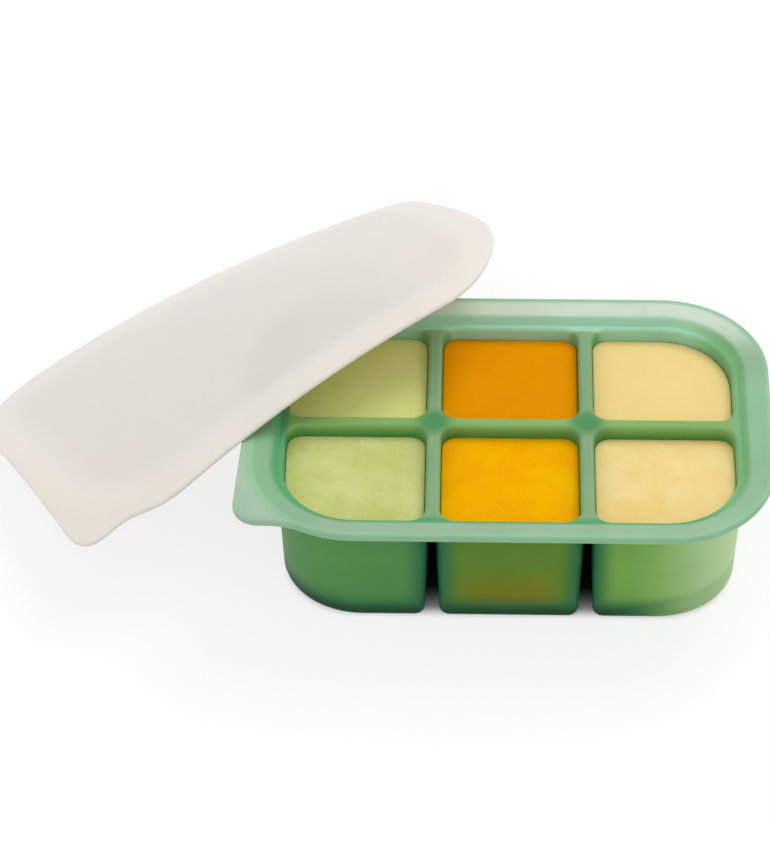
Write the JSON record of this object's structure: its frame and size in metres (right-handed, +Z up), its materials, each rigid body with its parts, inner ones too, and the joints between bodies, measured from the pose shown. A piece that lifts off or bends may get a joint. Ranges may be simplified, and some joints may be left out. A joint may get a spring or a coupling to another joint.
{
  "type": "freezer tray",
  "caption": "Soft silicone freezer tray for baby food: joined rounded cups under a wide rim, a matching lid leaning on one corner, and a frozen portion of puree in each cup.",
  "frame": {"origin": "on the table, at the middle of the base of the front middle cup", "axes": "+X to the right along the tray's length, +Y to the back, +Z up"},
  "size_m": [0.2859, 0.2011, 0.0745],
  "materials": {
    "tray_silicone": "satin, slightly see-through",
    "lid_silicone": "satin, milky",
    "green_puree": "matte",
    "orange_puree": "matte",
    "yellow_puree": "matte"
  },
  "bodies": {
    "tray": {"tray": "tray_silicone"},
    "lid": {"lid": "lid_silicone"},
    "portion_front_left": {"portion_front_left": "green_puree"},
    "portion_front_middle": {"portion_front_middle": "orange_puree"},
    "portion_front_right": {"portion_front_right": "yellow_puree"},
    "portion_rear_left": {"portion_rear_left": "green_puree"},
    "portion_rear_middle": {"portion_rear_middle": "orange_puree"},
    "portion_rear_right": {"portion_rear_right": "yellow_puree"}
  },
  "joints": [
    {"name": "lid_lift", "type": "slide", "parent": "tray", "child": "lid", "axis": [0, 0, 1], "range_m": [0, 0.14]},
    {"name": "press_out_front_left", "type": "slide", "parent": "tray", "child": "portion_front_left", "axis": [0, 0, 1], "range_m": [0, 0.022]},
    {"name": "press_out_front_middle", "type": "slide", "parent": "tray", "child": "portion_front_middle", "axis": [0, 0, 1], "range_m": [0, 0.048]},
    {"name": "press_out_front_right", "type": "slide", "parent": "tray", "child": "portion_front_right", "axis": [0, 0, 1], "range_m": [0, 0.048]},
    {"name": "press_out_rear_left", "type": "slide", "parent": "tray", "child": "portion_rear_left", "axis": [0, 0, 1], "range_m": [0, 0.012]},
    {"name": "press_out_rear_middle", "type": "slide", "parent": "tray", "child": "portion_rear_middle", "axis": [0, 0, 1], "range_m": [0, 0.026]},
    {"name": "press_out_rear_right", "type": "slide", "parent": "tray", "child": "portion_rear_right", "axis": [0, 0, 1], "range_m": [0, 0.048]}
  ]
}
